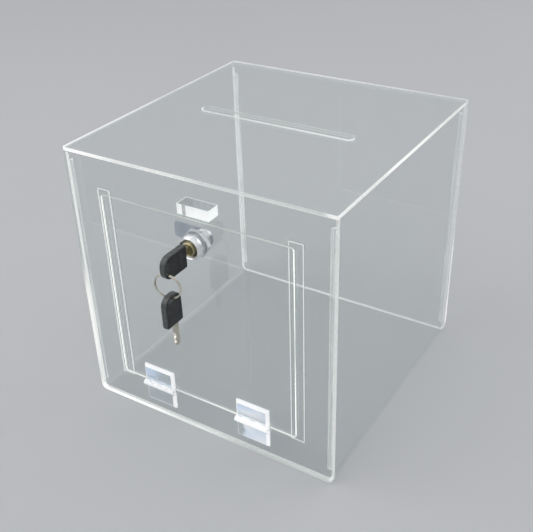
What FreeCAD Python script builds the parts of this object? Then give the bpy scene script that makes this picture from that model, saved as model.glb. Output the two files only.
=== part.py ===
import FreeCAD, Part
import math
import os

Vector = FreeCAD.Vector

# Raffle box: a clear sheet case with a ticket slot in the top and a hinged, locked door in front.
# Millimetres. X runs across the front, Y from the front to the back, Z up.
# The origin is the middle of the footprint, on the surface that the box stands on.

# Case
case_width = 250.0
case_depth = 250.0
case_height = 250.0
sheet = 3.0
bend_radius = 6.0
top_corner_radius = 2.0

# Ticket slot in the top, centred
ticket_slot_length = 150.0
ticket_slot_width = 10.0

# Triangular rods glued into the four upright corners
rod_leg = 4.0
rod_end_gap = 9.0

# Door, cut from the front sheet with a thin saw gap; margins are the frame left around it
door_side_margin = 35.0
door_bottom = 35.0
door_top_margin = 35.0
door_corner_radius = 2.5
saw_gap = 0.3

# Stop strips behind the two upright edges of the door
stop_width = 12.0
stop_thickness = 3.0
stop_overlap = 6.0
stop_below_door = 5.0
stop_above_door = 3.0

# Striker block that the cam turns up behind
striker_width = 29.5
striker_depth = 13.0
striker_height = 9.0
striker_lift = 0.2
striker_edge_round = 0.5

# Two butt hinges, glued on the outside along the bottom of the door
hinge_width = 32.0
hinge_from_door_edge = 41.0
hinge_leaf_length = 19.5
hinge_leaf_thickness = 3.2
hinge_leaf_bevel = 2.0
knuckle_count = 5
knuckle_radius = 2.6
knuckle_side_gap = 0.15
knuckle_clearance = 0.3
pin_radius = 0.9
pin_clearance = 0.05
pin_recess = 0.4
pin_stand_off = 3.0
pin_below_door = 0.7

# Cam lock: body, nut and washer
lock_below_door_top = 23.0
bezel_radius = 10.5
bezel_height = 6.0
bezel_foot = 1.8
bezel_rim_radius = 9.1
bezel_lip_round = 0.4
dish_radius = 8.4
dish_floor_radius = 6.7
dish_depth = 1.3
barrel_radius = 8.0
barrel_half_flats = 6.9
barrel_hole_clearance = 0.15
lock_washer_radius = 11.5
lock_washer_thickness = 0.8
lock_nut_flats = 21.0
lock_nut_thickness = 4.0
nut_chamfer = 0.7

# Cam lock: turning core, stop washer, cam and its nut
plug_radius = 5.75
plug_clearance = 0.06
plug_proud = 0.5
plug_rim_width = 1.0
plug_face_recess = 0.5
plug_edge_chamfer = 0.3
keyway_clearance = 0.1
keyway_end_gap = 0.8
drive_square = 6.0
drive_clearance = 0.08
stud_radius = 2.5
stud_end = 0.6
stop_washer_thickness = 1.2
stop_washer_radius = 6.9
stop_rim_inner_radius = 7.1
stop_rim_start = 35.0
stop_rim_sweep = 110.0
stop_play = 1.0
lock_travel = 90.0
running_gap = 0.1
cam_clearance = 0.4
cam_thickness = 1.6
cam_width = 14.0
cam_reach = 30.0
cam_corner_radius = 3.0
cam_washer_radius = 4.6
cam_washer_thickness = 0.6
cam_nut_flats = 8.0
cam_nut_thickness = 2.8

# Wafers inside the turning core
wafer_count = 5
wafer_pitch = 2.4
wafer_thickness = 0.8
wafer_width = 4.5
wafer_length = 10.4
wafer_clearance = 0.05
wafer_window_clearance = 0.15
wafer_depth_in_plug = 4.5

# Keys: a flat blade held in a moulded head
head_length = 27.5
head_width = 19.6
head_thickness = 5.8
head_far_radius = 8.5
head_near_radius = 1.5
head_edge_round = 1.3
head_offset = 2.0
head_slot_length = 12.6
head_slot_width = 4.8
head_slot_corner = 1.7
head_slot_from_end = 4.0
head_panel_depth = 0.3
head_panel_from_lock = 10.0
head_panel_length = 8.8
head_panel_width = 15.5
head_panel_corner = 1.0
blade_length = 22.5
blade_height = 6.5
blade_thickness = 1.9
blade_tip_length = 2.4
blade_tip_height = 1.6
tang_length = 10.0
tang_height = 9.0
groove_width = 1.2
groove_depth = 0.35
groove_offset = 0.7
groove_start = 1.5
cut_flat = 0.8
cut_depths = (1.3, 2.1, 1.0, 1.9, 1.4)
key_gap = 4.8

# Split ring that carries the spare key
ring_outer_diameter = 22.8
ring_wire = 1.1
ring_coil_gap = 0.1
ring_step_sweep = 26.0
ring_step_angle = 205.0
ring_turn = 10.0
ring_tilt = 4.0
ring_seat_gap = 0.4
spare_tilt = 0.5
spare_shift = 3.2

# Places worked out from the dimensions
half_width = case_width / 2
front_face = -case_depth / 2
back_face = case_depth / 2
panel_top = case_height - sheet
door_width = case_width - 2 * door_side_margin
door_top = case_height - door_top_margin
inner_front = front_face + sheet
hinge_spacing = door_width - 2 * hinge_from_door_edge
lock_z = door_top - lock_below_door_top
pin_y = front_face - pin_stand_off
pin_z = door_bottom - pin_below_door

# Places along the lock, counted from the door's outer face towards the inside
plug_face = -bezel_height - plug_proud
striker_back = sheet + striker_depth
cam_front = striker_back + cam_clearance
cam_back = cam_front + cam_thickness
stop_washer_front = cam_front - stop_washer_thickness
barrel_end = stop_washer_front - running_gap
stop_rim_end = cam_front - running_gap
cam_nut_back = cam_back + cam_washer_thickness + cam_nut_thickness
key_start = plug_face - key_gap
blade_end = key_start + blade_length
first_wafer = plug_face + wafer_depth_in_plug


def on_xz(y):
    """Map flat outline places onto an upright plane across the box."""
    return lambda u, v: Vector(u, y, v)


def on_xy(z):
    """Map flat outline places onto a level plane."""
    return lambda u, v: Vector(u, v, z)


def rounded_face(u0, u1, v0, v1, radii, at):
    """Rectangle with a radius at each corner: lower left, lower right, upper right, upper left."""
    corners = ((u0, v0, 180), (u1, v0, 270), (u1, v1, 0), (u0, v1, 90))
    stretches = []
    for (u, v, start), radius in zip(corners, radii):
        centre_u = u + radius if u == u0 else u - radius
        centre_v = v + radius if v == v0 else v - radius
        bend = [math.radians(start + turn) for turn in (0, 45, 90)]
        spots = [(centre_u + radius * math.cos(a), centre_v + radius * math.sin(a)) for a in bend]
        stretches.append([at(*spot) for spot in spots])
    edges = []
    for index, points in enumerate(stretches):
        following = stretches[(index + 1) % 4][0]
        if (points[2] - points[0]).Length > 1e-6:
            edges.append(Part.Arc(points[0], points[1], points[2]).toShape())
        if (following - points[2]).Length > 1e-6:
            edges.append(Part.makeLine(points[2], following))
    return Part.Face(Part.Wire(edges))


def box(x0, x1, y0, y1, z0, z1):
    """Block between opposite corners."""
    return Part.makeBox(x1 - x0, y1 - y0, z1 - z0, Vector(x0, y0, z0))


def disc(radius, y0, y1):
    """Round bar along Y, on the lock's axis."""
    return Part.makeCylinder(radius, y1 - y0, Vector(0, y0, 0), Vector(0, 1, 0))


def ring_sector(inner, outer, start, sweep, y0, y1):
    """Part of a flat ring about Y; angles in degrees from +X towards +Z."""
    def spot(radius, degrees):
        angle = math.radians(degrees)
        return Vector(radius * math.cos(angle), y0, radius * math.sin(angle))
    middle = start + sweep / 2
    end = start + sweep
    edges = [
        Part.Arc(spot(outer, start), spot(outer, middle), spot(outer, end)).toShape(),
        Part.makeLine(spot(outer, end), spot(inner, end)),
        Part.Arc(spot(inner, end), spot(inner, middle), spot(inner, start)).toShape(),
        Part.makeLine(spot(inner, start), spot(outer, start)),
    ]
    return Part.Face(Part.Wire(edges)).extrude(Vector(0, y1 - y0, 0))


def hexagon_nut(flats, thickness, hole_radius, y0):
    """Hexagon nut along Y with chamfered corners on both faces."""
    corner = flats / math.sqrt(3)
    turns = [math.radians(60 * i) for i in range(7)]
    points = [Vector(corner * math.cos(a), y0, corner * math.sin(a)) for a in turns]
    prism = Part.Face(Part.makePolygon(points)).extrude(Vector(0, thickness, 0))
    y1 = y0 + thickness
    outline = Part.makePolygon([
        Vector(0, y0, 0),
        Vector(corner - nut_chamfer, y0, 0),
        Vector(corner, y0 + nut_chamfer, 0),
        Vector(corner, y1 - nut_chamfer, 0),
        Vector(corner - nut_chamfer, y1, 0),
        Vector(0, y1, 0),
        Vector(0, y0, 0),
    ])
    turned = Part.Face(outline).revolve(Vector(0, 0, 0), Vector(0, 1, 0), 360)
    return prism.common(turned).cut(disc(hole_radius, y0 - 1, y1 + 1))


def barrel_section(clearance, y0, y1):
    """Round bar with two upright flats: the lock's barrel, or the hole it goes through."""
    flats = barrel_half_flats + clearance
    reach = barrel_radius + clearance + 1
    return disc(barrel_radius + clearance, y0, y1).common(box(-flats, flats, y0, y1, -reach, reach))


def at_lock(shape):
    """Move a piece of the lock from its own axis to its place in the door."""
    moved = shape.copy()
    moved.translate(Vector(0, front_face, lock_z))
    return moved


def placed(shape, origin, along, across):
    """Move a key piece so that its length lies along one direction and its width across another."""
    through = along.cross(across)
    rotation = FreeCAD.Rotation(along, across, through, "XYZ")
    moved = shape.copy()
    moved.Placement = FreeCAD.Placement(origin, rotation)
    return moved


# Case panels

def body_shell():
    """Left side, bottom and right side, bent from one sheet."""
    depth = Vector(0, case_depth - 2 * sheet, 0)
    at = on_xz(inner_front)
    outer = rounded_face(-half_width, half_width, 0, panel_top, (bend_radius, bend_radius, 0, 0), at)
    inner_radius = bend_radius - sheet
    inner = rounded_face(sheet - half_width, half_width - sheet, sheet, panel_top + sheet,
                         (inner_radius, inner_radius, 0, 0), at)
    return outer.extrude(depth).cut(inner.extrude(depth))


def end_panel(y):
    """Flat panel whose lower corners follow the bends of the shell."""
    face = rounded_face(-half_width, half_width, 0, panel_top, (bend_radius, bend_radius, 0, 0), on_xz(y))
    return face.extrude(Vector(0, sheet, 0))


def front_panel():
    """End panel with the door opening."""
    radius = door_corner_radius + saw_gap
    opening = rounded_face(-door_width / 2 - saw_gap, door_width / 2 + saw_gap,
                           door_bottom - saw_gap, door_top + saw_gap, (radius,) * 4, on_xz(front_face))
    return end_panel(front_face).cut(opening.extrude(Vector(0, sheet, 0)))


def top_panel():
    """Flat lid sheet with the ticket slot."""
    up = Vector(0, 0, sheet)
    at = on_xy(panel_top)
    plate = rounded_face(-half_width, half_width, front_face, back_face, (top_corner_radius,) * 4, at)
    slot_end = ticket_slot_width / 2
    slot = rounded_face(-ticket_slot_length / 2, ticket_slot_length / 2,
                        -ticket_slot_width / 2, ticket_slot_width / 2, (slot_end,) * 4, at)
    return plate.extrude(up).cut(slot.extrude(up))


def corner_rod(side, end):
    """Triangular rod in an upright corner; side is -1 at the left, end is -1 at the front."""
    x = side * (half_width - sheet)
    y = end * (case_depth / 2 - sheet)
    z = sheet + rod_end_gap
    outline = Part.makePolygon([
        Vector(x, y, z),
        Vector(x - side * rod_leg, y, z),
        Vector(x, y - end * rod_leg, z),
        Vector(x, y, z),
    ])
    return Part.Face(outline).extrude(Vector(0, 0, panel_top - rod_end_gap - z))


def door_stop(side):
    """Strip glued behind the front panel, over the door's upright edge."""
    inner_edge = door_width / 2 - stop_overlap
    x0, x1 = sorted((side * inner_edge, side * (inner_edge + stop_width)))
    return box(x0, x1, inner_front, inner_front + stop_thickness,
               door_bottom - stop_below_door, door_top + stop_above_door)


def striker_block():
    """Bar glued behind the front panel, just above the door."""
    z = door_top + saw_gap + striker_lift
    block = box(-striker_width / 2, striker_width / 2, inner_front, inner_front + striker_depth,
                z, z + striker_height)
    back_edges = [e for e in block.Edges if min(v.Y for v in e.Vertexes) > inner_front + striker_depth / 2]
    return block.makeFillet(striker_edge_round, back_edges)


def door_panel():
    """Door sheet with the flat-sided hole for the lock."""
    plate = rounded_face(-door_width / 2, door_width / 2, door_bottom, door_top,
                         (door_corner_radius,) * 4, on_xz(front_face)).extrude(Vector(0, sheet, 0))
    return plate.cut(at_lock(barrel_section(barrel_hole_clearance, 0, sheet)))


# Hinges

def knuckle_span(index):
    """Ends of one knuckle along the pin, from the middle of the hinge."""
    pitch = hinge_width / knuckle_count
    start = -hinge_width / 2 + index * pitch
    low = start + (knuckle_side_gap / 2 if index > 0 else 0)
    high = start + pitch - (knuckle_side_gap / 2 if index < knuckle_count - 1 else 0)
    return low, high


def hinge_leaf(centre_x, upward, first_knuckle):
    """Bevelled leaf with every second knuckle; upward is 1 on the door and -1 on the case."""
    reach = knuckle_radius + knuckle_clearance
    half = hinge_width / 2
    leaf = box(-half, half, -hinge_leaf_thickness, 0, reach, hinge_leaf_length)
    bevelled = []
    for edge in leaf.Edges:
        outside = all(abs(v.Y + hinge_leaf_thickness) < 1e-6 for v in edge.Vertexes)
        at_knuckles = all(abs(v.Z - reach) < 1e-6 for v in edge.Vertexes)
        if outside and not at_knuckles:
            bevelled.append(edge)
    leaf = leaf.makeChamfer(hinge_leaf_bevel, bevelled)
    back = pin_stand_off - knuckle_radius
    for index in range(first_knuckle, knuckle_count, 2):
        low, high = knuckle_span(index)
        neck = box(low, high, -hinge_leaf_thickness, -back, 0, reach + hinge_leaf_bevel)
        roll = Part.makeCylinder(knuckle_radius, high - low, Vector(low, -pin_stand_off, 0), Vector(1, 0, 0))
        leaf = leaf.fuse(neck).fuse(roll)
    bore = Part.makeCylinder(pin_radius + pin_clearance, hinge_width + 2,
                             Vector(-half - 1, -pin_stand_off, 0), Vector(1, 0, 0))
    leaf = leaf.cut(bore).removeSplitter()
    if upward < 0:
        leaf = leaf.mirror(Vector(0, 0, 0), Vector(0, 0, 1))
    leaf.translate(Vector(centre_x, front_face, pin_z))
    return leaf


def hinge_pin(centre_x):
    """Steel pin, a little shorter than the hinge."""
    length = hinge_width - 2 * pin_recess
    start = Vector(centre_x - length / 2, pin_y, pin_z)
    return Part.makeCylinder(pin_radius, length, start, Vector(1, 0, 0))


# Cam lock

def lock_body():
    """Turned bezel and barrel with two flats, bored for the core, with the stop rim at the back."""
    lip_back = -bezel_height + bezel_lip_round
    lip_mid = bezel_lip_round * (1 - math.sqrt(0.5))
    bore = plug_radius + plug_clearance
    dish_floor = -bezel_height + dish_depth
    side_mid = Vector((bezel_radius + bezel_rim_radius) / 2 + 0.25, (lip_back - bezel_foot) / 2, 0)
    lip_out = Vector(bezel_rim_radius - lip_mid, -bezel_height + lip_mid, 0)
    edges = [
        Part.makeLine(Vector(bore, dish_floor, 0), Vector(dish_floor_radius, dish_floor, 0)),
        Part.makeLine(Vector(dish_floor_radius, dish_floor, 0), Vector(dish_radius, -bezel_height, 0)),
        Part.makeLine(Vector(dish_radius, -bezel_height, 0),
                      Vector(bezel_rim_radius - bezel_lip_round, -bezel_height, 0)),
        Part.Arc(Vector(bezel_rim_radius - bezel_lip_round, -bezel_height, 0), lip_out,
                 Vector(bezel_rim_radius, lip_back, 0)).toShape(),
        Part.Arc(Vector(bezel_rim_radius, lip_back, 0), side_mid,
                 Vector(bezel_radius, -bezel_foot, 0)).toShape(),
        Part.makeLine(Vector(bezel_radius, -bezel_foot, 0), Vector(bezel_radius, 0, 0)),
        Part.makeLine(Vector(bezel_radius, 0, 0), Vector(bore, 0, 0)),
        Part.makeLine(Vector(bore, 0, 0), Vector(bore, dish_floor, 0)),
    ]
    bezel = Part.Face(Part.Wire(edges)).revolve(Vector(0, 0, 0), Vector(0, 1, 0), 360)
    barrel = barrel_section(0, 0, barrel_end).cut(disc(bore, -1, barrel_end + 1))
    rim = ring_sector(stop_rim_inner_radius, barrel_radius, stop_rim_start, stop_rim_sweep,
                      barrel_end, stop_rim_end)
    rim = rim.common(barrel_section(0, barrel_end, stop_rim_end))
    return at_lock(bezel.fuse(barrel).fuse(rim).removeSplitter())


def lock_washer():
    """Plain washer behind the door."""
    start = sheet
    end = sheet + lock_washer_thickness
    plate = disc(lock_washer_radius, start, end)
    return at_lock(plate.cut(disc(barrel_radius + barrel_hole_clearance, start - 1, end + 1)))


def lock_nut():
    """Nut that clamps the lock to the door."""
    start = sheet + lock_washer_thickness
    hole = barrel_radius + barrel_hole_clearance
    return at_lock(hexagon_nut(lock_nut_flats, lock_nut_thickness, hole, start))


def lock_plug():
    """Turning core: keyway and wafer slots, square drive and threaded stud at the back."""
    body = disc(plug_radius, plug_face, barrel_end)
    front_edge = [e for e in body.Edges if all(abs(v.Y - plug_face) < 1e-6 for v in e.Vertexes)
                  and isinstance(e.Curve, Part.Circle)]
    body = body.makeChamfer(plug_edge_chamfer, front_edge)
    recess = disc(plug_radius - plug_rim_width, plug_face - 1, plug_face + plug_face_recess)
    half_square = drive_square / 2
    drive = box(-half_square, half_square, barrel_end, cam_back, -half_square, half_square)
    stud = disc(stud_radius, cam_back, cam_nut_back + stud_end)
    half_way = blade_thickness / 2 + keyway_clearance
    half_high = blade_height / 2 + keyway_clearance
    keyway = box(-half_way, half_way, plug_face - 1, blade_end + keyway_end_gap, -half_high, half_high)
    plug = body.cut(recess).fuse(drive).fuse(stud).cut(keyway)
    half_slot = wafer_width / 2 + wafer_clearance
    for index in range(wafer_count):
        start = first_wafer + index * wafer_pitch - wafer_clearance
        end = start + wafer_thickness + 2 * wafer_clearance
        plug = plug.cut(box(-half_slot, half_slot, start, end, -plug_radius - 1, plug_radius + 1))
    return at_lock(plug.removeSplitter())


def lock_wafers():
    """Slotted wafers in the core; the key blade passes through their windows."""
    half_plate = wafer_width / 2
    half_window = blade_thickness / 2 + wafer_window_clearance
    half_window_high = blade_height / 2 + wafer_window_clearance
    wafers = []
    for index in range(wafer_count):
        start = first_wafer + index * wafer_pitch
        end = start + wafer_thickness
        plate = box(-half_plate, half_plate, start, end, -wafer_length / 2, wafer_length / 2)
        window = box(-half_window, half_window, start - 1, end + 1, -half_window_high, half_window_high)
        wafers.append(at_lock(plate.cut(window)))
    return Part.makeCompound(wafers)


def lock_stop_washer():
    """Washer on the square drive whose wide lug meets the stop rim at both ends of the travel."""
    hole = drive_square / 2 + drive_clearance
    lug_sweep = 360 - stop_rim_sweep - lock_travel - 2 * stop_play
    lug_start = stop_rim_start + stop_rim_sweep + lock_travel + stop_play
    lug = ring_sector(stop_washer_radius - 1, barrel_radius, lug_start, lug_sweep,
                      stop_washer_front, cam_front)
    washer = disc(stop_washer_radius, stop_washer_front, cam_front).fuse(lug)
    square = box(-hole, hole, stop_washer_front - 1, cam_front + 1, -hole, hole)
    return at_lock(washer.cut(square).removeSplitter())


def lock_cam():
    """Flat cam on the square drive, turned to the left when the lock is open."""
    hole = drive_square / 2 + drive_clearance
    half = cam_width / 2
    plate = rounded_face(-cam_reach, half, -half, half,
                         (cam_corner_radius, half, half, cam_corner_radius), on_xz(cam_front))
    cam = plate.extrude(Vector(0, cam_thickness, 0))
    return at_lock(cam.cut(box(-hole, hole, cam_front - 1, cam_back + 1, -hole, hole)))


def cam_washer():
    """Washer under the cam's nut."""
    end = cam_back + cam_washer_thickness
    plate = disc(cam_washer_radius, cam_back, end)
    return at_lock(plate.cut(disc(stud_radius + drive_clearance, cam_back - 1, end + 1)))


def cam_nut():
    """Nut that holds the cam on the core."""
    start = cam_back + cam_washer_thickness
    return at_lock(hexagon_nut(cam_nut_flats, cam_nut_thickness, stud_radius + drive_clearance, start))


# Keys, drawn with the length along X, the tip at +X, and the head's edge at the origin

def blade_outline():
    """Blade and tang; the cuts line up with the wafers when the key is in the lock."""
    half = blade_height / 2
    half_tang = tang_height / 2
    half_tip = blade_tip_height / 2
    half_flat = cut_flat / 2
    first_cut = first_wafer + wafer_thickness / 2 - key_start
    points = [(0, half_tang), (-tang_length, half_tang), (-tang_length, -half_tang), (0, -half_tang)]
    points.append((0, -half))
    points.append((first_cut - half_flat - cut_depths[0], -half))
    for index, depth in enumerate(cut_depths):
        middle = first_cut + index * wafer_pitch
        points.append((middle - half_flat, depth - half))
        points.append((middle + half_flat, depth - half))
        if index + 1 < len(cut_depths):
            following = cut_depths[index + 1]
            crest = middle + wafer_pitch / 2 + (depth - following) / 2
            crest_depth = (depth + following) / 2 - (wafer_pitch / 2 - half_flat)
            points.append((crest, crest_depth - half))
    points.append((blade_length, -half_tip))
    points.append((blade_length, half_tip))
    points.append((blade_length - blade_tip_length, half))
    points.append((0, half))
    return points


def key_blade_shape():
    """Flat blade with cuts on one edge and a shallow groove in each face."""
    points = [Vector(x, y, -blade_thickness / 2) for x, y in blade_outline()]
    points.append(points[0])
    blade = Part.Face(Part.makePolygon(points)).extrude(Vector(0, 0, blade_thickness))
    half_groove = groove_width / 2
    surface = blade_thickness / 2
    for face_side in (-1, 1):
        middle = face_side * groove_offset
        z0, z1 = sorted((face_side * (surface - groove_depth), face_side * (surface + 1)))
        blade = blade.cut(box(groove_start, blade_length + 1,
                              middle - half_groove, middle + half_groove, z0, z1))
    return blade


def key_head_shape():
    """Moulded head around the tang, wider on the cut side, with an oblong ring hole and shallow panels."""
    middle = -head_offset
    low = middle - head_width / 2
    high = middle + head_width / 2
    at = on_xy(-head_thickness / 2)
    up = Vector(0, 0, head_thickness)
    corners = (head_far_radius, head_near_radius, head_near_radius, head_far_radius)
    plate = rounded_face(-head_length, 0, low, high, corners, at).extrude(up)
    rims = [e for e in plate.Edges if abs(e.BoundBox.ZLength) < 1e-6]
    plate = plate.makeFillet(head_edge_round, rims)
    slot_middle = head_slot_from_end - head_length
    slot = rounded_face(slot_middle - head_slot_width / 2, slot_middle + head_slot_width / 2,
                        middle - head_slot_length / 2, middle + head_slot_length / 2,
                        (head_slot_corner,) * 4, at).extrude(up)
    pocket = box(-tang_length, 1, -tang_height / 2, tang_height / 2,
                 -blade_thickness / 2, blade_thickness / 2)
    head = plate.cut(slot).cut(pocket)
    for face_side in (-1, 1):
        panel = rounded_face(-head_panel_from_lock - head_panel_length, -head_panel_from_lock,
                             middle - head_panel_width / 2, middle + head_panel_width / 2,
                             (head_panel_corner,) * 4, on_xy(face_side * head_thickness / 2))
        head = head.cut(panel.extrude(Vector(0, 0, -face_side * head_panel_depth)))
    return head


def inserted(shape):
    """Key in the lock, its head upright and its cuts down."""
    return placed(shape, Vector(0, front_face + key_start, lock_z), Vector(0, 1, 0), Vector(0, 0, 1))


# Split ring, hung in the hole of the inserted key, and the spare key hung on the ring

ring_radius = (ring_outer_diameter - ring_wire) / 2
coil_pitch = ring_wire + ring_coil_gap
# how far the curved wire drops within the thickness of a key head
wire_drop = ring_radius - math.sqrt(ring_radius ** 2 - (head_thickness / 2) ** 2)
ring_axis = Vector(math.cos(math.radians(ring_turn)), math.sin(math.radians(ring_turn)), 0)
slot_floor = lock_z - head_offset - head_slot_length / 2
ring_top = Vector(0, front_face + key_start - head_length + head_slot_from_end,
                  slot_floor + ring_wire / 2 + wire_drop + ring_seat_gap)
ring_down = Vector(-math.sin(math.radians(ring_turn)) * math.sin(math.radians(ring_tilt)),
                   math.cos(math.radians(ring_turn)) * math.sin(math.radians(ring_tilt)),
                   -math.cos(math.radians(ring_tilt)))
ring_bottom = ring_top + ring_down * (2 * ring_radius)


def ring_spot(degrees, y):
    """Place on the ring's own centre circle, with the ring hanging under the origin."""
    angle = math.radians(degrees)
    return Vector(ring_radius * math.cos(angle), y, ring_radius * math.sin(angle) - ring_radius)


def coil_arcs(start, end, y):
    """Thirds of one coil as arcs."""
    step = (end - start) / 3
    arcs = []
    for index in range(3):
        low = start + index * step
        spots = [ring_spot(low + share * step, y) for share in (0, 0.5, 1)]
        arcs.append(Part.Arc(spots[0], spots[1], spots[2]).toShape())
    return arcs


def key_ring():
    """Two turns of wire side by side, joined by one step, as a single bent wire."""
    near = -coil_pitch / 2
    far = coil_pitch / 2
    step_end = ring_step_angle + ring_step_sweep
    step_points = []
    step_parts = 6
    for index in range(step_parts + 1):
        share = index / step_parts
        smooth = share * share * (3 - 2 * share)
        step_points.append(ring_spot(ring_step_angle + share * ring_step_sweep, near + smooth * coil_pitch))
    def direction(degrees):
        return Vector(-math.sin(math.radians(degrees)), 0, math.cos(math.radians(degrees)))
    step = Part.BSplineCurve()
    step.interpolate(Points=step_points, InitialTangent=direction(ring_step_angle),
                     FinalTangent=direction(step_end))
    path = coil_arcs(step_end - 360, ring_step_angle, near)
    path.append(step.toShape())
    path.extend(coil_arcs(step_end, ring_step_angle + 360, far))
    start = ring_spot(step_end - 360, near)
    section = Part.makeCircle(ring_wire / 2, start, direction(step_end))
    ring = Part.Wire(path).makePipeShell([Part.Wire([section])], True, False)
    ring.rotate(Vector(0, 0, 0), Vector(1, 0, 0), ring_tilt)
    ring.rotate(Vector(0, 0, 0), Vector(0, 0, 1), ring_turn)
    ring.translate(ring_top)
    return ring


def hung(shape):
    """Spare key hanging on the bottom of the ring, blade down."""
    tilt = math.radians(spare_tilt)
    down = Vector(0, math.sin(tilt), -math.cos(tilt))
    across = Vector(0, math.cos(tilt), math.sin(tilt))
    wall = head_length - head_slot_from_end + head_slot_width / 2
    grip = wall - ring_seat_gap - ring_wire / 2 - wire_drop
    return placed(shape, ring_bottom + down * grip + across * spare_shift, down, across)


nodes = {
    "body_shell": body_shell(),
    "front_panel": front_panel(),
    "back_panel": end_panel(back_face - sheet),
    "top_panel": top_panel(),
    "corner_rod_front_left": corner_rod(-1, -1),
    "corner_rod_front_right": corner_rod(1, -1),
    "corner_rod_back_left": corner_rod(-1, 1),
    "corner_rod_back_right": corner_rod(1, 1),
    "door_stop_left": door_stop(-1),
    "door_stop_right": door_stop(1),
    "striker_block": striker_block(),
    "door_panel": door_panel(),
    "lock_body": lock_body(),
    "lock_washer": lock_washer(),
    "lock_nut": lock_nut(),
    "lock_plug": lock_plug(),
    "lock_wafers": lock_wafers(),
    "lock_stop_washer": lock_stop_washer(),
    "lock_cam": lock_cam(),
    "cam_washer": cam_washer(),
    "cam_nut": cam_nut(),
    "key_blade": inserted(key_blade_shape()),
    "key_head": inserted(key_head_shape()),
    "key_ring": key_ring(),
    "spare_key_blade": hung(key_blade_shape()),
    "spare_key_head": hung(key_head_shape()),
}
for side_name, side in (("left", -1), ("right", 1)):
    centre = side * hinge_spacing / 2
    nodes["hinge_" + side_name + "_door_leaf"] = hinge_leaf(centre, 1, 1)
    nodes["hinge_" + side_name + "_case_leaf"] = hinge_leaf(centre, -1, 0)
    nodes["hinge_" + side_name + "_pin"] = hinge_pin(centre)

os.makedirs("parts", exist_ok=True)
for name, shape in nodes.items():
    shape.exportStep("parts/" + name + ".step")
    print(name, len(shape.Solids), "solid,", round(shape.Volume, 1), "mm3, valid", shape.isValid())
print("door pin", round(pin_y, 3), round(pin_z, 3))
print("ring top", ring_top, "ring bottom", ring_bottom, "ring axis", ring_axis)
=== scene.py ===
import math

import bmesh
import bpy
from mathutils import Matrix, Vector


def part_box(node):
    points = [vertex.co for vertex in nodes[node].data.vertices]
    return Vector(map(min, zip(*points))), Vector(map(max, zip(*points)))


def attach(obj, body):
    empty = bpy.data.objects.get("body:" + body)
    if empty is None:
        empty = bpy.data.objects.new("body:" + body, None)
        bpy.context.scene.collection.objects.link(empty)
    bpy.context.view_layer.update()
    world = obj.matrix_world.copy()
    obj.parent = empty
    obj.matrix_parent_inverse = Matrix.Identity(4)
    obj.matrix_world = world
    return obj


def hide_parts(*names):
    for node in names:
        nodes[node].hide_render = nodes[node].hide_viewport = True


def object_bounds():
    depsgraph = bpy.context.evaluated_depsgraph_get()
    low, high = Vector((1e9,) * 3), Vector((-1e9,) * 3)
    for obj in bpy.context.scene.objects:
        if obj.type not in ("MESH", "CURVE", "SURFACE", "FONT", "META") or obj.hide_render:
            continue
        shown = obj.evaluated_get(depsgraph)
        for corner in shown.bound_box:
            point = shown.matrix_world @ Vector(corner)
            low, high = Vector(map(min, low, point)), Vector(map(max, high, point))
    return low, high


# Raffle box: clear sheet case, hinged door with a cam lock, keys on a split ring.
# Metres in the CAD frame: X to the right, Y to the back, Z up. Colours are linear.
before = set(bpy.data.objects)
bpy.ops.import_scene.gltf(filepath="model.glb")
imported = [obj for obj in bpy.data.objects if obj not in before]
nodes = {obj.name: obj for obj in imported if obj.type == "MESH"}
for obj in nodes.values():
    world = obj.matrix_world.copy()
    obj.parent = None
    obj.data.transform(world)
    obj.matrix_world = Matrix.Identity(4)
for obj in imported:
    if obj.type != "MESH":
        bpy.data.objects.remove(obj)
cad_low, cad_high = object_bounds()
MM = 0.001
X, Y, Z = range(3)


def middle(node, axis):
    """Middle of a CAD node's box along one axis."""
    low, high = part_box(node)
    return (low[axis] + high[axis]) / 2


def dress(node, material):
    slots = nodes[node].data.materials
    slots.clear()
    slots.append(material)


# Node helpers

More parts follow.
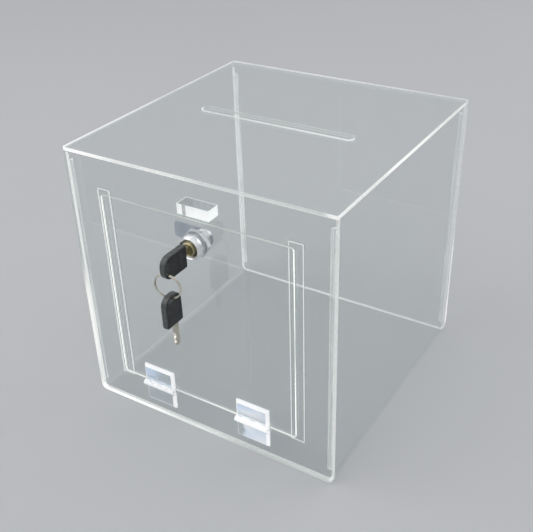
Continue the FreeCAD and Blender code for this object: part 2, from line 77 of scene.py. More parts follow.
class Tree:
    """A material's node tree, with short calls for the nodes used here. A value is a number or a
    socket, and a colour is three numbers or a socket."""

    def __init__(self, name):
        self.material = bpy.data.materials.new(name)
        self.material.use_nodes = True
        self.nodes = self.material.node_tree.nodes
        self.links = self.material.node_tree.links
        self.nodes.clear()
        self.output = self.nodes.new("ShaderNodeOutputMaterial")
        self.coordinates = self.nodes.new("ShaderNodeTexCoord").outputs
        self.place = self.split(self.coordinates["Object"])
        self.normal = self.split(self.coordinates["Normal"])
        self.from_inside = self.nodes.new("ShaderNodeNewGeometry").outputs["Backfacing"]

    def put(self, socket, value):
        if isinstance(value, bpy.types.NodeSocket):
            self.links.new(value, socket)
        else:
            socket.default_value = (*value, 1) if isinstance(value, tuple) else value

    def maths(self, operation, *values):
        node = self.nodes.new("ShaderNodeMath")
        node.operation = operation
        for socket, value in zip(node.inputs, values):
            self.put(socket, value)
        return node.outputs[0]

    def plus(self, a, b):
        return self.maths("ADD", a, b)

    def minus(self, a, b):
        return self.maths("SUBTRACT", a, b)

    def times(self, a, b):
        return self.maths("MULTIPLY", a, b)

    def larger(self, a, b):
        return self.maths("MAXIMUM", a, b)

    def smaller(self, a, b):
        return self.maths("MINIMUM", a, b)

    def unsigned(self, value):
        return self.maths("ABSOLUTE", value)

    def length(self, a, b):
        return self.maths("SQRT", self.plus(self.times(a, a), self.times(b, b)))

    def steps(self, value, low, high, start=0.0, end=1.0):
        """Smooth change from start to end while value goes from low to high."""
        node = self.nodes.new("ShaderNodeMapRange")
        node.interpolation_type = "SMOOTHSTEP"
        for socket, number in zip(node.inputs, (value, low, high, start, end)):
            self.put(socket, number)
        return node.outputs[0]

    def falls(self, value, low, high):
        """1 where value is under low, 0 where it is over high."""
        return self.steps(value, low, high, 1.0, 0.0)

    def between(self, factor, a, b):
        """Value a where factor is 0, b where it is 1."""
        node = self.nodes.new("ShaderNodeMix")
        self.put(node.inputs[0], factor)
        self.put(node.inputs[2], a)
        self.put(node.inputs[3], b)
        return node.outputs[0]

    def colours(self, factor, a, b):
        """Colour a where factor is 0, b where it is 1."""
        node = self.nodes.new("ShaderNodeMix")
        node.data_type = "RGBA"
        self.put(node.inputs[0], factor)
        self.put(node.inputs[6], a)
        self.put(node.inputs[7], b)
        return node.outputs[2]

    def split(self, vector):
        node = self.nodes.new("ShaderNodeSeparateXYZ")
        self.links.new(vector, node.inputs[0])
        return node.outputs

    def noise(self, scale, detail, rough, stretch=(1, 1, 1), turn=(0, 0, 0)):
        """Noise in the object's own coordinates; a low stretch draws it out along that axis."""
        mapping = self.nodes.new("ShaderNodeMapping")
        mapping.inputs["Rotation"].default_value = turn
        mapping.inputs["Scale"].default_value = stretch
        self.links.new(self.coordinates["Object"], mapping.inputs["Vector"])
        node = self.nodes.new("ShaderNodeTexNoise")
        node.inputs["Scale"].default_value = scale
        node.inputs["Detail"].default_value = detail
        node.inputs["Roughness"].default_value = rough
        self.links.new(mapping.outputs[0], node.inputs["Vector"])
        return node.outputs["Fac"]

    def bump(self, height, strength, distance):
        node = self.nodes.new("ShaderNodeBump")
        node.inputs["Strength"].default_value = strength
        node.inputs["Distance"].default_value = distance
        self.links.new(height, node.inputs["Height"])
        return node.outputs[0]

    def shader(self, kind, **values):
        """A shader of this kind with its sockets given by name, such as base_color."""
        node = self.nodes.new("ShaderNodeBsdf" + kind)
        for key, value in values.items():
            self.put(node.inputs[key.replace("_", " ").title().replace("Ior", "IOR")], value)
        return node.outputs[0]

    def mixed(self, factor, a, b):
        """Shader a where factor is 0, b where it is 1."""
        node = self.nodes.new("ShaderNodeMixShader")
        self.put(node.inputs[0], factor)
        self.links.new(a, node.inputs[1])
        self.links.new(b, node.inputs[2])
        return node.outputs[0]

    def done(self, shader):
        self.links.new(shader, self.output.inputs["Surface"])
        return self.material


# Clear plastic: its two kinds of surface

ACRYLIC_IOR = 1.49
SHEET_TINT = (0.965, 0.974, 0.972)
ROD_TINT = (0.93, 0.95, 0.945)
STRIKER_TINT = (0.92, 0.93, 0.94)
HINGE_TINT = (0.965, 0.975, 0.985)
EDGE_TINT = (0.91, 0.94, 0.93)
MIRRORED = (0.97, 0.98, 1.0)
SMEAR = (0.9, 0.92, 0.92)
# Painted highlight colour of a lit edge, and painted shade colour of an unlit one
EDGE_HIGHLIGHT_CREAM = (0.97, 0.965, 0.945)
UNLIT_EDGE = (0.64, 0.68, 0.66)

SHEET_HAZE = 0.02
EDGE_OPACITY = (0.6, 0.97)   # of a sheet's edge where it is in painted shade and where it is painted lit
# Painted glow of the sheets' edges: emission that stands in for the light a sheet carries
EDGE_GLOW = 0.33
LEVEL_GLOW = 0.25            # share of the painted glow that is left on edges facing up or down
RIGHT_GLOW = 1.5             # gain of the painted glow on edges facing right
ARRIS = 0.9 * MM


def pane_share(tree):
    """Share that a thin sheet mirrors, both its surfaces together, counted where a ray enters."""
    fresnel = tree.nodes.new("ShaderNodeFresnel")
    fresnel.inputs["IOR"].default_value = ACRYLIC_IOR
    once = fresnel.outputs[0]
    both = tree.maths("DIVIDE", tree.times(once, 2.0), tree.plus(once, 1.0))
    return tree.times(both, tree.minus(1.0, tree.from_inside))


def clear_side(tree, tint, haze, seed):
    """Polished side: see-through, mirrored by angle, with faint smears and hairline scratches."""
    gloss = tree.shader("Glossy", color=MIRRORED, roughness=0.03)
    smears = tree.steps(tree.noise(9 + seed, 4, 0.6), 0.5, 0.78, 0.0, 0.5)
    hairs = tree.noise(14, 2, 0.5, (1.2, 55, 3), (0.2, 0.5, 0.7 + seed))
    hairs = tree.steps(hairs, 0.70, 0.76)
    marks = tree.times(tree.plus(smears, hairs), haze)
    film = tree.shader("Principled", base_color=SMEAR, roughness=0.5)
    clear = tree.mixed(pane_share(tree), tree.shader("Transparent", color=tint), gloss)
    return tree.mixed(marks, clear, film)


def cut_side(tree, arrises, opacity, seed, glow, bright=EDGE_HIGHLIGHT_CREAM, dull=UNLIT_EDGE,
             lit_from=None, low_glow=0.0, through=None, patches=1.0):
    """Sawn edge. Its arrises are cream white, a painted highlight; between them it is duller and
    partly clear, with white patches. A sheet carries light to its edges, and here they are given a
    painted glow of their own.

    arrises: 1 at the edge's corners, 0 in its middle
    opacity: how opaque it is where it is dull and where it is lit
    glow: painted glow of an edge that faces sideways, which little of the lamps' light reaches
    lit_from: gives how bright each stretch of the edge is painted, as painted light and shade
    low_glow: painted glow of an edge just above the table
    through: gives how much of the edge shows when it is seen through its own sheet
    patches: strength of the white patches
    """
    slow = tree.noise(11 + seed, 2, 0.4)
    saw = tree.noise(420, 2, 0.6)
    patch = tree.steps(tree.plus(slow, tree.times(saw, 0.2)), 0.42, 0.66)
    patch = tree.times(patch, patches)
    # Painted highlight on the arrises; lit_from paints light on some stretches of the edge and
    # leaves the rest in painted shade
    corner = tree.times(arrises, 0.9)
    if lit_from:
        stretch = lit_from(tree)
        patch = tree.times(tree.plus(tree.times(patch, 0.35), 0.65), stretch)
        corner = tree.times(corner, tree.steps(stretch, 0, 1, 0.45, 1.0))
    lit = tree.larger(corner, patch)

    # Painted glow: emission from the edge, less on edges facing up or down, more just above the
    # table and on edges facing right
    painted_glow = tree.steps(tree.unsigned(tree.normal[Z]), 0.2, 0.9, glow, glow * LEVEL_GLOW)
    if low_glow:
        near_table = tree.falls(tree.place[Z], 2 * MM, 6 * MM)
        painted_glow = tree.between(near_table, painted_glow, low_glow)
    to_the_right = tree.steps(tree.normal[X], 0.2, 0.9, 1.0, RIGHT_GLOW)
    painted_glow = tree.times(tree.times(painted_glow, to_the_right), lit)
    # Painted light and shade: cream where the edge is painted lit, the dull colour elsewhere
    colour = tree.colours(lit, dull, bright)
    cut = tree.shader("Principled", base_color=colour, ior=ACRYLIC_IOR,
                      roughness=tree.steps(saw, 0.3, 0.7, 0.22, 0.42),
                      emission_color=colour, emission_strength=painted_glow,
                      normal=tree.bump(saw, 0.25, 0.2 * MM))

    share = tree.steps(lit, 0, 1, *opacity)
    if lit_from:
        unlit = tree.steps(arrises, 0.2, 0.8, 0.2, 1.0)
        share = tree.times(share, tree.between(tree.steps(stretch, 0.02, 0.12), unlit, 1.0))
    if through:
        share = tree.times(share, tree.between(tree.from_inside, 1.0, through(tree)))
    return tree.mixed(share, tree.shader("Transparent", color=EDGE_TINT), cut)


def flat_along(tree, axis):
    """1 on faces that look along the axis, 0 on the cut edges between them."""
    return tree.steps(tree.unsigned(tree.normal[axis]), 0.5, 0.75)


def bent_skins(tree, axis):
    """1 on the bent sheet's two skins, 0 on its ends along the axis and on its upper rims."""
    on_top = tree.maths("GREATER_THAN", tree.place[Z], 240 * MM)
    rims = tree.times(flat_along(tree, Z), on_top)
    return tree.minus(1.0, tree.larger(flat_along(tree, axis), rims))


def both_arrises(tree, axis, low, high):
    """1 at the two corners of an edge that spans low to high along the axis, 0 between them."""
    from_low = tree.minus(tree.place[axis], low)
    from_high = tree.minus(high, tree.place[axis])
    return tree.falls(tree.smaller(from_low, from_high), 0.0, ARRIS)


# Clear plastic: which stretches of the sheets' edges are painted bright, as painted light, and what
# shows from inside them

def at_left(tree):
    return tree.falls(tree.place[X], -118 * MM, -112 * MM)


def at_right(tree):
    return tree.steps(tree.place[X], 112 * MM, 118 * MM)


def at_bottom(tree):
    return tree.falls(tree.place[Z], 6 * MM, 12 * MM)


def at_top(tree):
    return tree.steps(tree.place[Z], 243 * MM, 246 * MM)


def front_corner(tree, solid=1.3 * MM):
    """1 along the front corner of the edges in the front sheet's plane, 0 further back."""
    from_front = tree.minus(tree.place[Y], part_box("door_panel")[0].y)
    return tree.falls(from_front, solid, solid + 0.8 * MM)


def clear_of_door(tree):
    """0 on the walls of the door opening, 1 on the front sheet's outer edges."""
    low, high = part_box("door_panel")
    near, far = 2 * MM, 4 * MM
    beside = tree.steps(tree.unsigned(tree.place[X]), high.x + near, high.x + far)
    above = tree.steps(tree.place[Z], high.z + near, high.z + far)
    below = tree.falls(tree.place[Z], low.z - far, low.z - near)
    return tree.larger(beside, tree.larger(above, below))


def outer_edges(tree):
    """All of an outer edge shows through the front sheet, and a quarter of the opening's walls."""
    return tree.steps(clear_of_door(tree), 0, 1, 0.25, 1.0)


def upper_arris(tree):
    """1 near the top sheet's upper face, little below it."""
    below_top = tree.minus(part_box("top_panel")[1].z, tree.place[Z])
    return tree.steps(below_top, 1.1 * MM, 1.9 * MM, 1.0, 0.15)


def front_edges(tree):
    """Painted light on the front sheet's edges: left edge bright in its lower half, bottom edge
    bright towards the left, right and top edges a little over half bright. The door opening's walls
    are painted bright along their front corner."""
    left = tree.steps(tree.place[Z], 100 * MM, 160 * MM, 1.0, 0.06)
    bottom = tree.steps(tree.place[X], -40 * MM, 50 * MM, 1.0, 0.35)
    share = tree.between(at_left(tree), 0.62, left)
    share = tree.between(at_right(tree), share, 0.55)
    share = tree.between(at_bottom(tree), share, bottom)
    return tree.between(clear_of_door(tree), front_corner(tree, 0.9 * MM), share)


def top_edges(tree):
    """Painted light on the top sheet's edges: nearly white all round, a little duller towards the
    back, under half bright along the right half of the front, and dull, in painted shade, on the
    slot's far wall."""
    x, y = tree.place[X], tree.place[Y]
    outer = tree.steps(y, -120 * MM, 120 * MM, 1.0, 0.8)
    in_front = tree.falls(y, -122 * MM, -118 * MM)
    right_half = tree.times(tree.steps(x, -30 * MM, 30 * MM), tree.falls(x, 112 * MM, 120 * MM))
    outer = tree.between(tree.times(in_front, right_half), outer, 0.42)
    in_slot = tree.falls(tree.unsigned(y), 8 * MM, 12 * MM)
    in_slot = tree.times(in_slot, tree.maths("LESS_THAN", tree.unsigned(x), 90 * MM))
    far_wall = tree.times(in_slot, tree.steps(y, 0.0, 3 * MM))
    return tree.between(far_wall, outer, 0.12)


def back_edges(tree):
    """Painted light on the back sheet's edges: right edge bright in its lower part, left edge a
    little over half bright, bottom edge duller, top edge unlit."""
    right = tree.steps(tree.place[Z], 90 * MM, 130 * MM, 1.0, 0.4)
    share = tree.between(at_right(tree), 0.6, right)
    share = tree.between(at_bottom(tree), share, 0.3)
    return tree.between(at_top(tree), share, 0.0)


def shell_edges(tree):
    """Painted light on the bent sheet's edges: bright, but unlit along the top of its left side."""
    top_left = tree.times(at_top(tree), tree.maths("LESS_THAN", tree.place[X], 0.0))
    return tree.between(top_left, 0.9, 0.0)


# Clear plastic: the materials

def sheet_material(node, name, seed, lit_from, axis=Y, glow=EDGE_GLOW, skins=flat_along,
                   low_glow=0.0, through=None):
    """Clear sheet. The arrises of its edges lie where its box ends along the axis, and skins tells
    its faces from its edges."""
    tree = Tree(name)
    low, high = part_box(node)
    faces = clear_side(tree, SHEET_TINT, SHEET_HAZE, seed)
    edges = cut_side(tree, both_arrises(tree, axis, low[axis], high[axis]), EDGE_OPACITY, seed,
                     glow, lit_from=lit_from, low_glow=low_glow, through=through)
    return tree.done(tree.mixed(skins(tree, axis), edges, faces))


def strip_material():
    """Door stop strip: its edges show a painted highlight, one crisp white line along the front
    corner.
    """
    seed = 3.3
    tree = Tree("acrylic_strips")
    from_front = tree.minus(tree.place[Y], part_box("door_stop_left")[0].y)
    line = tree.falls(from_front, 1.2 * MM, 2.0 * MM)
    edges = cut_side(tree, line, opacity=(0.12, 0.97), seed=seed, glow=0.3, patches=0.15)
    faces = clear_side(tree, SHEET_TINT, SHEET_HAZE, seed)
    return tree.done(tree.mixed(flat_along(tree, Y), edges, faces))


def frosted_rod(name, most, glow):
    """Extruded rod: streaky white with a painted glow along its length, at most so opaque, with
    sawn white ends.
    """
    seed = 4.0
    frosting = (0.95, 0.955, 0.94)
    tree = Tree(name)
    streaks = tree.noise(700, 3, 0.6, (1, 1, 0.02))
    cloud = tree.noise(16, 2, 0.5)
    amount = tree.steps(tree.plus(streaks, tree.times(cloud, 0.6)), 0.62, 0.95, 0.15, most)
    # The white frosting has a painted glow
    white = tree.shader("Principled", base_color=frosting, roughness=0.35,
                        emission_color=frosting, emission_strength=glow)
    faces = tree.mixed(amount, clear_side(tree, ROD_TINT, SHEET_HAZE, seed), white)
    ends = cut_side(tree, tree.steps(cloud, 0.2, 0.5, 0.85, 1.0), opacity=(0.9, 0.97), seed=seed,
                    glow=0.3)
    return tree.done(tree.mixed(flat_along(tree, Z), faces, ends))


def sawn_block():
    """Striker block: clear top and bottom, sawn white sides with a band of painted shade near the
    left end. Seen from inside, its sides are partly clear and painted darker towards the left, a
    painted shade, with a white lip along both rims that has a painted glow."""
    seed = 5.0
    # grey shows in the saw marks and in the band of painted shade; lip_white is the lip's painted
    # glow, and dim_left and dim_right paint the inside darker towards the left, a painted shade
    white, grey = (0.98, 0.98, 0.97), (0.56, 0.56, 0.55)
    lip_white, dim_left, dim_right = (0.96, 0.96, 0.94), (0.46, 0.44, 0.42), (0.70, 0.73, 0.77)
    tree = Tree("acrylic_striker")
    low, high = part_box("striker_block")
    saw = tree.noise(260, 3, 0.6, (1, 1, 0.15))
    from_left = tree.minus(tree.place[X], low.x)
    from_rim = tree.smaller(tree.minus(tree.place[Z], low.z), tree.minus(high.z, tree.place[Z]))

    # Band of painted shade near the left end
    band = tree.times(tree.steps(from_left, 4.6 * MM, 5.4 * MM),
                      tree.falls(from_left, 7.6 * MM, 9.0 * MM))
    shade = tree.minus(tree.steps(saw, 0.3, 0.6, 0.82, 1.0), tree.times(band, 0.7))
    shade = tree.larger(shade, tree.falls(from_rim, 0.3 * MM, 0.9 * MM))
    outside = cut_side(tree, shade, EDGE_OPACITY, seed, glow=0.42, bright=white, dull=grey,
                       lit_from=lambda t: t.steps(band, 0, 1, 1.0, 0.3))

    # Painted white lip with a painted glow, and the inside painted darker towards the left
    lip = tree.falls(from_rim, 0.5 * MM, 1.3 * MM)
    dim = tree.colours(tree.steps(from_left, 5 * MM, 9 * MM), dim_left, dim_right)
    surface = tree.shader("Principled", base_color=tree.colours(lip, dim, lip_white),
                          roughness=0.4, emission_color=lip_white,
                          emission_strength=tree.times(lip, 0.45))
    share = tree.larger(tree.steps(saw, 0.3, 0.7, 0.35, 0.55), tree.times(lip, 0.9))
    inside = tree.mixed(share, tree.shader("Transparent", color=(0.95, 0.96, 0.97)), surface)
    sides = tree.mixed(tree.from_inside, outside, inside)
    level = clear_side(tree, STRIKER_TINT, haze=0.10, seed=seed)
    return tree.done(tree.mixed(flat_along(tree, Z), sides, level))


def hinge_sheen(tree, side, part, across, from_roll, cloud):
    """How much painted sheen, a painted reflection of the light, each part of a hinge's flat face
    gets. across goes from 0 at the leaf's left end to 1 at its right end, and from_roll is the
    height above or below the pin."""
    if part == "door_leaf":
        fade = (0.1, 0.8, 0.95, 0.1) if side == "left" else (0.2, 1.0, 0.95, 0.7)
        outward = tree.steps(from_roll, 6 * MM, 11 * MM, 0.3, 1.0)
        from_streak = tree.unsigned(tree.minus(from_roll, 4.6 * MM))
        streak = tree.steps(from_streak, 0.3 * MM, 1.1 * MM, 0.8, 0.0)
        caught = tree.larger(tree.times(tree.steps(across, *fade), outward), streak)
    elif side == "left":
        caught = tree.steps(across, 0.0, 0.3, 0.14, 0.04)
    else:
        wavy = tree.plus(across, tree.steps(cloud, 0.3, 0.7, -0.12, 0.12))
        caught = tree.steps(wavy, 0.2, 0.45, 0.04, 1.0)
    return tree.times(caught, tree.steps(cloud, 0.3, 0.55, 0.65, 1.0))


def hinge_leaf(side, part):
    """Moulded clear plastic: white bevels, rough white knuckles, and a flat face that is painted
    bluish white, a painted reflection of the sky with a painted glow, where it would catch the
    light, and nearly clear elsewhere. The left and bottom rims of the case's leaves are dull, in
    painted shade."""
    seed = 6.0
    # blue_sky and pale_sky are the colours of a painted reflection of the sky
    blue_sky, pale_sky = (0.64, 0.78, 0.97), (0.94, 0.97, 1.0)
    white, grey = (0.98, 0.98, 0.98), (0.56, 0.60, 0.64)
    node, pin = "hinge_" + side + "_" + part, "hinge_" + side + "_pin"
    tree = Tree(node)
    low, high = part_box(node)
    across = tree.maths("DIVIDE", tree.minus(tree.place[X], low.x), high.x - low.x)
    away_y = tree.minus(tree.place[Y], middle(pin, Y))
    away_z = tree.minus(tree.place[Z], middle(pin, Z))
    off_roll = tree.steps(tree.length(away_y, away_z), 3.0 * MM, 3.6 * MM)

    cloud = tree.noise(42, 2, 0.45, (0.7, 1, 1.2))
    caught = hinge_sheen(tree, side, part, across, tree.unsigned(away_z), cloud)
    # Painted reflection of the sky, with a painted glow
    sky = tree.colours(tree.steps(cloud, 0.40, 0.74), blue_sky, pale_sky)
    lit = tree.shader("Principled", base_color=sky, roughness=0.2,
                      emission_color=sky, emission_strength=0.14)
    clear = clear_side(tree, HINGE_TINT, haze=0.05, seed=seed)
    faces = tree.mixed(tree.steps(caught, 0, 1, 0.03, 0.85), clear, lit)

    # Painted shade on the left and bottom rims of the case's leaves
    shaded_rim = None
    if part == "case_leaf":
        rim = tree.times(off_roll, tree.falls(across, 0.88, 0.96))
        shaded_rim = lambda t: t.falls(rim, 0, 1)
    grain = tree.steps(tree.noise(620, 3, 0.65), 0.32, 0.52, 0.35, 1.0)
    edges = cut_side(tree, tree.larger(grain, off_roll), opacity=(0.75, 0.97), seed=seed,
                     glow=0.28, bright=white, dull=grey, lit_from=shaded_rim)
    flat = tree.steps(tree.unsigned(tree.normal[Y]), 0.8, 0.95)
    return tree.done(tree.mixed(tree.times(flat, off_roll), edges, faces))


# Metals and moulded plastic

def drift(tree, scale):
    """Slow change over a surface that has tarnished or worn unevenly."""
    return tree.steps(tree.noise(scale, 3, 0.55), 0.35, 0.7)


def metal(name, colour, dark, rough, grain=(1, 1, 1)):
    """Plated or machined metal: its colour drifts a little, with a directional grain."""
    tree = Tree(name)
    tarnish = drift(tree, 60)
    lines = tree.noise(900, 3, 0.6, grain)
    roughness = tree.plus(tree.steps(lines, 0.3, 0.7, rough * 0.75, rough * 1.25),
                          tree.times(tarnish, rough * 0.3))
    return tree.done(tree.shader(
        "Principled", base_color=tree.colours(tarnish, colour, dark), metallic=1.0,
        roughness=roughness, normal=tree.bump(lines, 0.5, 0.02 * MM)))


def from_lock_axis(tree):
    """Distance from the lock's axis, on the lock's own pieces."""
    return tree.length(tree.place[X], tree.minus(tree.place[Z], middle("lock_body", Z)))


def core_brass():
    """Core of the lock: gold rim, with a duller olive face inside it that is painted shade."""
    shaded_olives = (0.33, 0.31, 0.17), (0.24, 0.22, 0.12)
    golds = (0.86, 0.77, 0.50), (0.72, 0.62, 0.36)
    tree = Tree("core_brass")
    tarnish = drift(tree, 180)
    rim = tree.steps(from_lock_axis(tree), 4.6 * MM, 4.9 * MM)
    # Painted shade: the face inside the gold rim is a darker olive
    colour = tree.colours(rim, tree.colours(tarnish, *shaded_olives), tree.colours(tarnish, *golds))
    turning = tree.noise(1500, 2, 0.5)
    return tree.done(tree.shader(
        "Principled", base_color=colour, metallic=1.0,
        roughness=tree.steps(turning, 0.3, 0.7, 0.26, 0.42),
        normal=tree.bump(turning, 0.4, 0.02 * MM)))


def lock_chrome():
    """Bright plating on the bezel, a painted dark reflection of the black key head in the dish
    around the core, and duller on the barrel.
    """
    plating = (0.97, 0.975, 0.98), (0.88, 0.89, 0.91)
    dish_dark_reflection, barrel_grey = (0.30, 0.30, 0.29), (0.86, 0.86, 0.86)
    tree = Tree("lock_chrome")
    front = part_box("lock_body")[0].y
    # Painted dark reflection of the black key head on the dish's inner wall
    in_dish = tree.times(tree.falls(from_lock_axis(tree), 8.0 * MM, 8.5 * MM),
                         tree.steps(tree.place[Y], front + 0.1 * MM, front + 0.6 * MM))
    on_barrel = tree.steps(tree.place[Y], -125.2 * MM, -124.5 * MM)
    plate = tree.colours(drift(tree, 70), *plating)
    colour = tree.colours(on_barrel, tree.colours(in_dish, plate, dish_dark_reflection), barrel_grey)
    wear = tree.noise(900, 3, 0.6)
    return tree.done(tree.shader(
        "Principled", base_color=colour, metallic=1.0,
        roughness=tree.plus(tree.steps(wear, 0.3, 0.7, 0.13, 0.2), tree.times(on_barrel, 0.12)),
        normal=tree.bump(wear, 0.3, 0.01 * MM)))


def key_plastic():
    """Black moulded plastic with a fine sparked grain; its rims are painted greyer, a painted
    highlight, and are smoother than its faces."""
    blacks = (0.008, 0.008, 0.011), (0.013, 0.013, 0.016)
    rim_highlights = (0.050, 0.056, 0.055), (0.090, 0.098, 0.094)
    tree = Tree("key_plastic")
    wear = tree.steps(tree.noise(300, 4, 0.6), 0.35, 0.7)
    # Painted highlight: the rims are painted greyer than the faces
    rim = tree.falls(tree.unsigned(tree.normal[X]), 0.6, 0.93)
    colour = tree.colours(rim, tree.colours(wear, *blacks), tree.colours(wear, *rim_highlights))
    roughness = tree.plus(tree.steps(wear, 0, 1, 0.30, 0.24), tree.steps(rim, 0, 1, 0.1, 0.0))
    return tree.done(tree.shader(
        "Principled", base_color=colour, roughness=roughness, ior=1.5,
        normal=tree.bump(tree.noise(2600, 2, 0.5), 0.35, 0.04 * MM)))


# Lock body with its real thread, in place of the plain one. Its outline is in millimetres: radius
# from the axis, and depth behind the door's face.

BORE, BARREL, HALF_FLAT, RIM_BORE = 5.81, 8.0, 6.9, 7.1
BARREL_END, RIM_END = 15.1, 16.3
DISH = [(BORE, -4.7), (6.7, -4.7), (8.4, -6.0), (8.7, -6.0), (8.98, -5.88)]
FLANK_TOP, FLANK_SPAN, FLANK_BULGE = (9.1, -5.6), (1.4, 3.8), 1.0
BEZEL_BACK = [(10.5, -0.2), (10.3, 0.0)]
PITCH, THREAD_HEIGHT = 1.0, 0.35
THREAD_START, THREAD_END = 2.6, 14.7
FLANK_STEPS, BARREL_STEPS = 8, 126
TURN_STEP = 3              # degrees between outlines
STOP_RIM = (35, 145)       # degrees that the rim spans


def thread_depth(depth, turn):
    """0 on a crest, 1 in a groove of the barrel's thread; plain where the door is and at the very
    end."""
    crest, slope = 0.15, 0.7
    fade_in, fade_out = 0.8, 0.5
    phase = (depth / PITCH - turn / (2 * math.pi)) % 1.0
    groove = min(1.0, max(0.0, (abs(phase - 0.5) * 2 - crest) / slope))
    rise = min(1.0, max(0.0, (depth - THREAD_START) / fade_in))
    fall = min(1.0, max(0.0, (THREAD_END - depth) / fade_out))
    return groove * min(rise, fall)


def lock_outline(turn, in_rim):
    """Closed outline of the lock body at one angle, with as many points in the rim as beside it."""
    (flank, flank_depth), (run, rise) = FLANK_TOP, FLANK_SPAN
    outline = DISH + [FLANK_TOP]
    for part in range(1, FLANK_STEPS + 1):
        share = part / FLANK_STEPS
        bulge = FLANK_BULGE * share * (1 - share)
        outline.append((flank + run * share + bulge, flank_depth + rise * share))
    outline += BEZEL_BACK
    flat = HALF_FLAT / max(abs(math.cos(turn)), 1e-6)
    for index in range(BARREL_STEPS + 1):
        depth = BARREL_END * index / BARREL_STEPS
        outline.append((min(BARREL - THREAD_HEIGHT * thread_depth(depth, turn), flat), depth))
    if in_rim:
        outline += [(BARREL, RIM_END), (RIM_BORE, RIM_END), (RIM_BORE, BARREL_END),
                    (BORE, BARREL_END)]
    else:
        outer = outline[-1][0]
        outline += [(outer + (BORE - outer) * share, BARREL_END)
                    for share in (0.137, 0.274, 0.411, 1.0)]
    return outline


def lock_columns():
    """Angles of the outlines and whether each is in the rim. Each end of the rim has one of both
    kinds, in the order in which they come round."""
    start, stop = STOP_RIM
    columns = [(degrees, start < degrees < stop) for degrees in range(0, 360, TURN_STEP)]
    for edge in STOP_RIM:
        columns += [(edge, False), (edge, True)]
    return sorted(columns, key=lambda column: (column[0], column[1] != (column[0] == stop)))


def threaded_lock_body(material):
    centre_x = middle("lock_body", X)
    centre_z = middle("lock_plug", Z)
    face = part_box("door_panel")[0].y
    shape = bmesh.new()
    rings = []
    for degrees, in_rim in lock_columns():
        turn = math.radians(degrees)
        rings.append([shape.verts.new((centre_x + r * MM * math.cos(turn), face + depth * MM,
                                       centre_z + r * MM * math.sin(turn)))
                      for r, depth in lock_outline(turn, in_rim)])
    for one, other in zip(rings, rings[1:] + rings[:1]):
        for index in range(len(one)):
            following = (index + 1) % len(one)
            shape.faces.new((one[index], one[following], other[following], other[index]))
    bmesh.ops.remove_doubles(shape, verts=shape.verts, dist=1e-7)
    bmesh.ops.dissolve_degenerate(shape, edges=shape.edges, dist=1e-8)
    bmesh.ops.recalc_face_normals(shape, faces=shape.faces)
    mesh = bpy.data.meshes.new("lock_body_threaded")
    shape.to_mesh(mesh)
    shape.free()
    mesh.shade_smooth()
    mesh.set_sharp_from_angle(angle=math.radians(32))
    piece = bpy.data.objects.new("lock_body_threaded", mesh)
    bpy.context.scene.collection.objects.link(piece)
    mesh.materials.append(material)
    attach(piece, "door")
    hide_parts("lock_body")


# Materials on their nodes

# lit_from paints light and shade along each sheet's edges, and glow and low_glow set their painted
# glow
sheets = {
    "top_panel": dict(name="acrylic_top", seed=0.3, axis=Z, lit_from=top_edges,
                      through=upper_arris),
    "front_panel": dict(name="acrylic_front", seed=0.9, glow=0.27, lit_from=front_edges,
                        low_glow=0.44, through=outer_edges),
    "back_panel": dict(name="acrylic_back", seed=1.7, lit_from=back_edges),
    "door_panel": dict(name="acrylic_door", seed=2.2, lit_from=front_corner),
    "body_shell": dict(name="acrylic_shell", seed=2.9, lit_from=shell_edges, skins=bent_skins),
}
for node, look in sheets.items():
    dress(node, sheet_material(node, **look))

strips = strip_material()
rods = frosted_rod("acrylic_rods", most=0.6, glow=0.12)
chrome = lock_chrome()
black = key_plastic()
brass = metal("wafer_brass", (0.76, 0.62, 0.32), (0.62, 0.48, 0.22), 0.24)
washer_zinc = metal("washer_zinc", (0.92, 0.93, 0.95), (0.80, 0.82, 0.85), 0.28)
nut_zinc = metal("nut_zinc", (0.92, 0.93, 0.95), (0.82, 0.84, 0.87), 0.3)
stop_zinc = metal("stop_zinc", (0.72, 0.73, 0.76), (0.6, 0.62, 0.65), 0.3)
cam_steel = metal("cam_steel", (0.62, 0.66, 0.73), (0.50, 0.54, 0.61), 0.3, (1, 1, 14))
nickel = metal("key_nickel", (0.74, 0.70, 0.62), (0.60, 0.56, 0.48), 0.26, (1, 1, 12))
ring_steel = metal("ring_steel", (0.80, 0.76, 0.66), (0.56, 0.52, 0.44), 0.2)
pin_steel = metal("pin_steel", (0.70, 0.71, 0.73), (0.55, 0.56, 0.58), 0.25, (14, 1, 1))
others = {
    "door_stop_left": strips, "door_stop_right": strips, "striker_block": sawn_block(),
    "corner_rod_front_left": rods, "corner_rod_front_right": rods, "corner_rod_back_right": rods,
    # Painted light: the back left rod is whiter and has more painted glow
    "corner_rod_back_left": frosted_rod("acrylic_rod_lit", most=0.95, glow=0.24),
    "hinge_left_pin": pin_steel, "hinge_right_pin": pin_steel,
    "lock_body": chrome, "lock_washer": washer_zinc, "lock_nut": nut_zinc,
    "lock_plug": core_brass(), "lock_wafers": brass, "lock_stop_washer": stop_zinc,
    "lock_cam": cam_steel, "cam_washer": stop_zinc, "cam_nut": nut_zinc,
    "key_blade": nickel, "key_head": black, "key_ring": ring_steel,
    "spare_key_blade": nickel, "spare_key_head": black,
}
for node, material in others.items():
    dress(node, material)
for side in ("left", "right"):
    for part in ("door_leaf", "case_leaf"):
        dress("hinge_" + side + "_" + part, hinge_leaf(side, part))
threaded_lock_body(chrome)


# Floor, light, camera

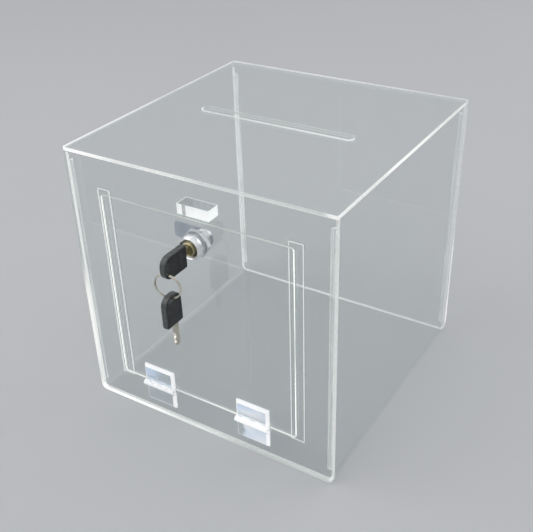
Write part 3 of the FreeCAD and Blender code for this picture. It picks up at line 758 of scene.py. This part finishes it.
FLOOR_GREYS = (0.475, 0.48, 0.49), (0.495, 0.50, 0.51)
HORIZON, ZENITH = (0.56, 0.57, 0.59, 1), (1.02, 1.03, 1.05, 1)
WORLD_STRENGTH = 0.8
LAMPS_AIM = Vector((0, 0, 0.1))
PHOTO_WIDTH, FOCAL_LENGTH = 533, 819.8          # pixels
SENSOR_WIDTH = 36.0                             # millimetres
AZIMUTH, ELEVATION, ROLL = 32.66, 31.44, -1.89  # degrees
CAMERA_PLACE = Vector((343.8, -556.75, 507.6)) * MM


def floor():
    mesh = bpy.data.meshes.new("studio_floor")
    half, gap = 6.0, 0.4 * MM
    level = cad_low.z - gap
    corners = [(-half, -half, level), (half, -half, level), (half, half, level),
               (-half, half, level)]
    mesh.from_pydata(corners, [], [(0, 1, 2, 3)])
    piece = bpy.data.objects.new("studio_floor", mesh)
    bpy.context.scene.collection.objects.link(piece)
    tree = Tree("studio_floor")
    mottle = tree.colours(tree.noise(3.0, 3, 0.5), *FLOOR_GREYS)
    mesh.materials.append(tree.done(tree.shader("Principled", base_color=mottle, roughness=0.7)))


def studio_world():
    """Grey at the level of the horizon and white overhead."""
    world = bpy.data.worlds.new("studio")
    world.use_nodes = True
    tree = world.node_tree
    background = next(n for n in tree.nodes if n.type == "BACKGROUND")
    coordinates = tree.nodes.new("ShaderNodeTexCoord")
    split = tree.nodes.new("ShaderNodeSeparateXYZ")
    tree.links.new(coordinates.outputs["Generated"], split.inputs[0])
    rise = tree.nodes.new("ShaderNodeMapRange")
    rise.interpolation_type = "SMOOTHSTEP"
    rise.inputs["From Max"].default_value = 0.95
    tree.links.new(split.outputs["Z"], rise.inputs["Value"])
    shade = tree.nodes.new("ShaderNodeMix")
    shade.data_type = "RGBA"
    shade.inputs[6].default_value = HORIZON
    shade.inputs[7].default_value = ZENITH
    tree.links.new(rise.outputs[0], shade.inputs["Factor"])
    tree.links.new(shade.outputs[2], background.inputs["Color"])
    background.inputs["Strength"].default_value = WORLD_STRENGTH
    bpy.context.scene.world = world


def soft_box(name, place, wide, high, watts):
    lamp = bpy.data.lights.new(name, "AREA")
    lamp.shape = "RECTANGLE"
    lamp.size, lamp.size_y = wide, high
    lamp.energy = watts
    piece = bpy.data.objects.new(name, lamp)
    bpy.context.scene.collection.objects.link(piece)
    piece.location = place
    piece.rotation_mode = "QUATERNION"
    piece.rotation_quaternion = (LAMPS_AIM - Vector(place)).to_track_quat("-Z", "Y")


def camera():
    """The photograph's viewpoint, found from the box's eight corners."""
    azimuth, elevation, roll = (math.radians(a) for a in (AZIMUTH, ELEVATION, ROLL))
    back = Vector((math.sin(azimuth) * math.cos(elevation),
                   -math.cos(azimuth) * math.cos(elevation), math.sin(elevation)))
    right = Vector((0, 0, 1)).cross(back).normalized()
    down = right.cross(back)
    right, down = (right * math.cos(roll) - down * math.sin(roll),
                   right * math.sin(roll) + down * math.cos(roll))
    data = bpy.data.cameras.new("photo_camera")
    data.sensor_width = SENSOR_WIDTH
    data.lens = FOCAL_LENGTH / PHOTO_WIDTH * SENSOR_WIDTH
    data.clip_start, data.clip_end = 0.01, 50.0
    piece = bpy.data.objects.new("photo_camera", data)
    bpy.context.scene.collection.objects.link(piece)
    turned = Matrix((right, -down, back)).transposed().to_4x4()
    piece.matrix_world = Matrix.Translation(CAMERA_PLACE) @ turned
    bpy.context.scene.camera = piece


floor()
studio_world()
soft_box("key_light", place=(-1.1, -1.3, 1.7), wide=3.0, high=2.4, watts=22)
soft_box("back_light", place=(1.2, 1.4, 1.5), wide=2.2, high=1.8, watts=10)
camera()

scene = bpy.context.scene
scene.view_settings.view_transform = "Standard"
scene.cycles.transparent_max_bounces = 48
scene.cycles.max_bounces = 16
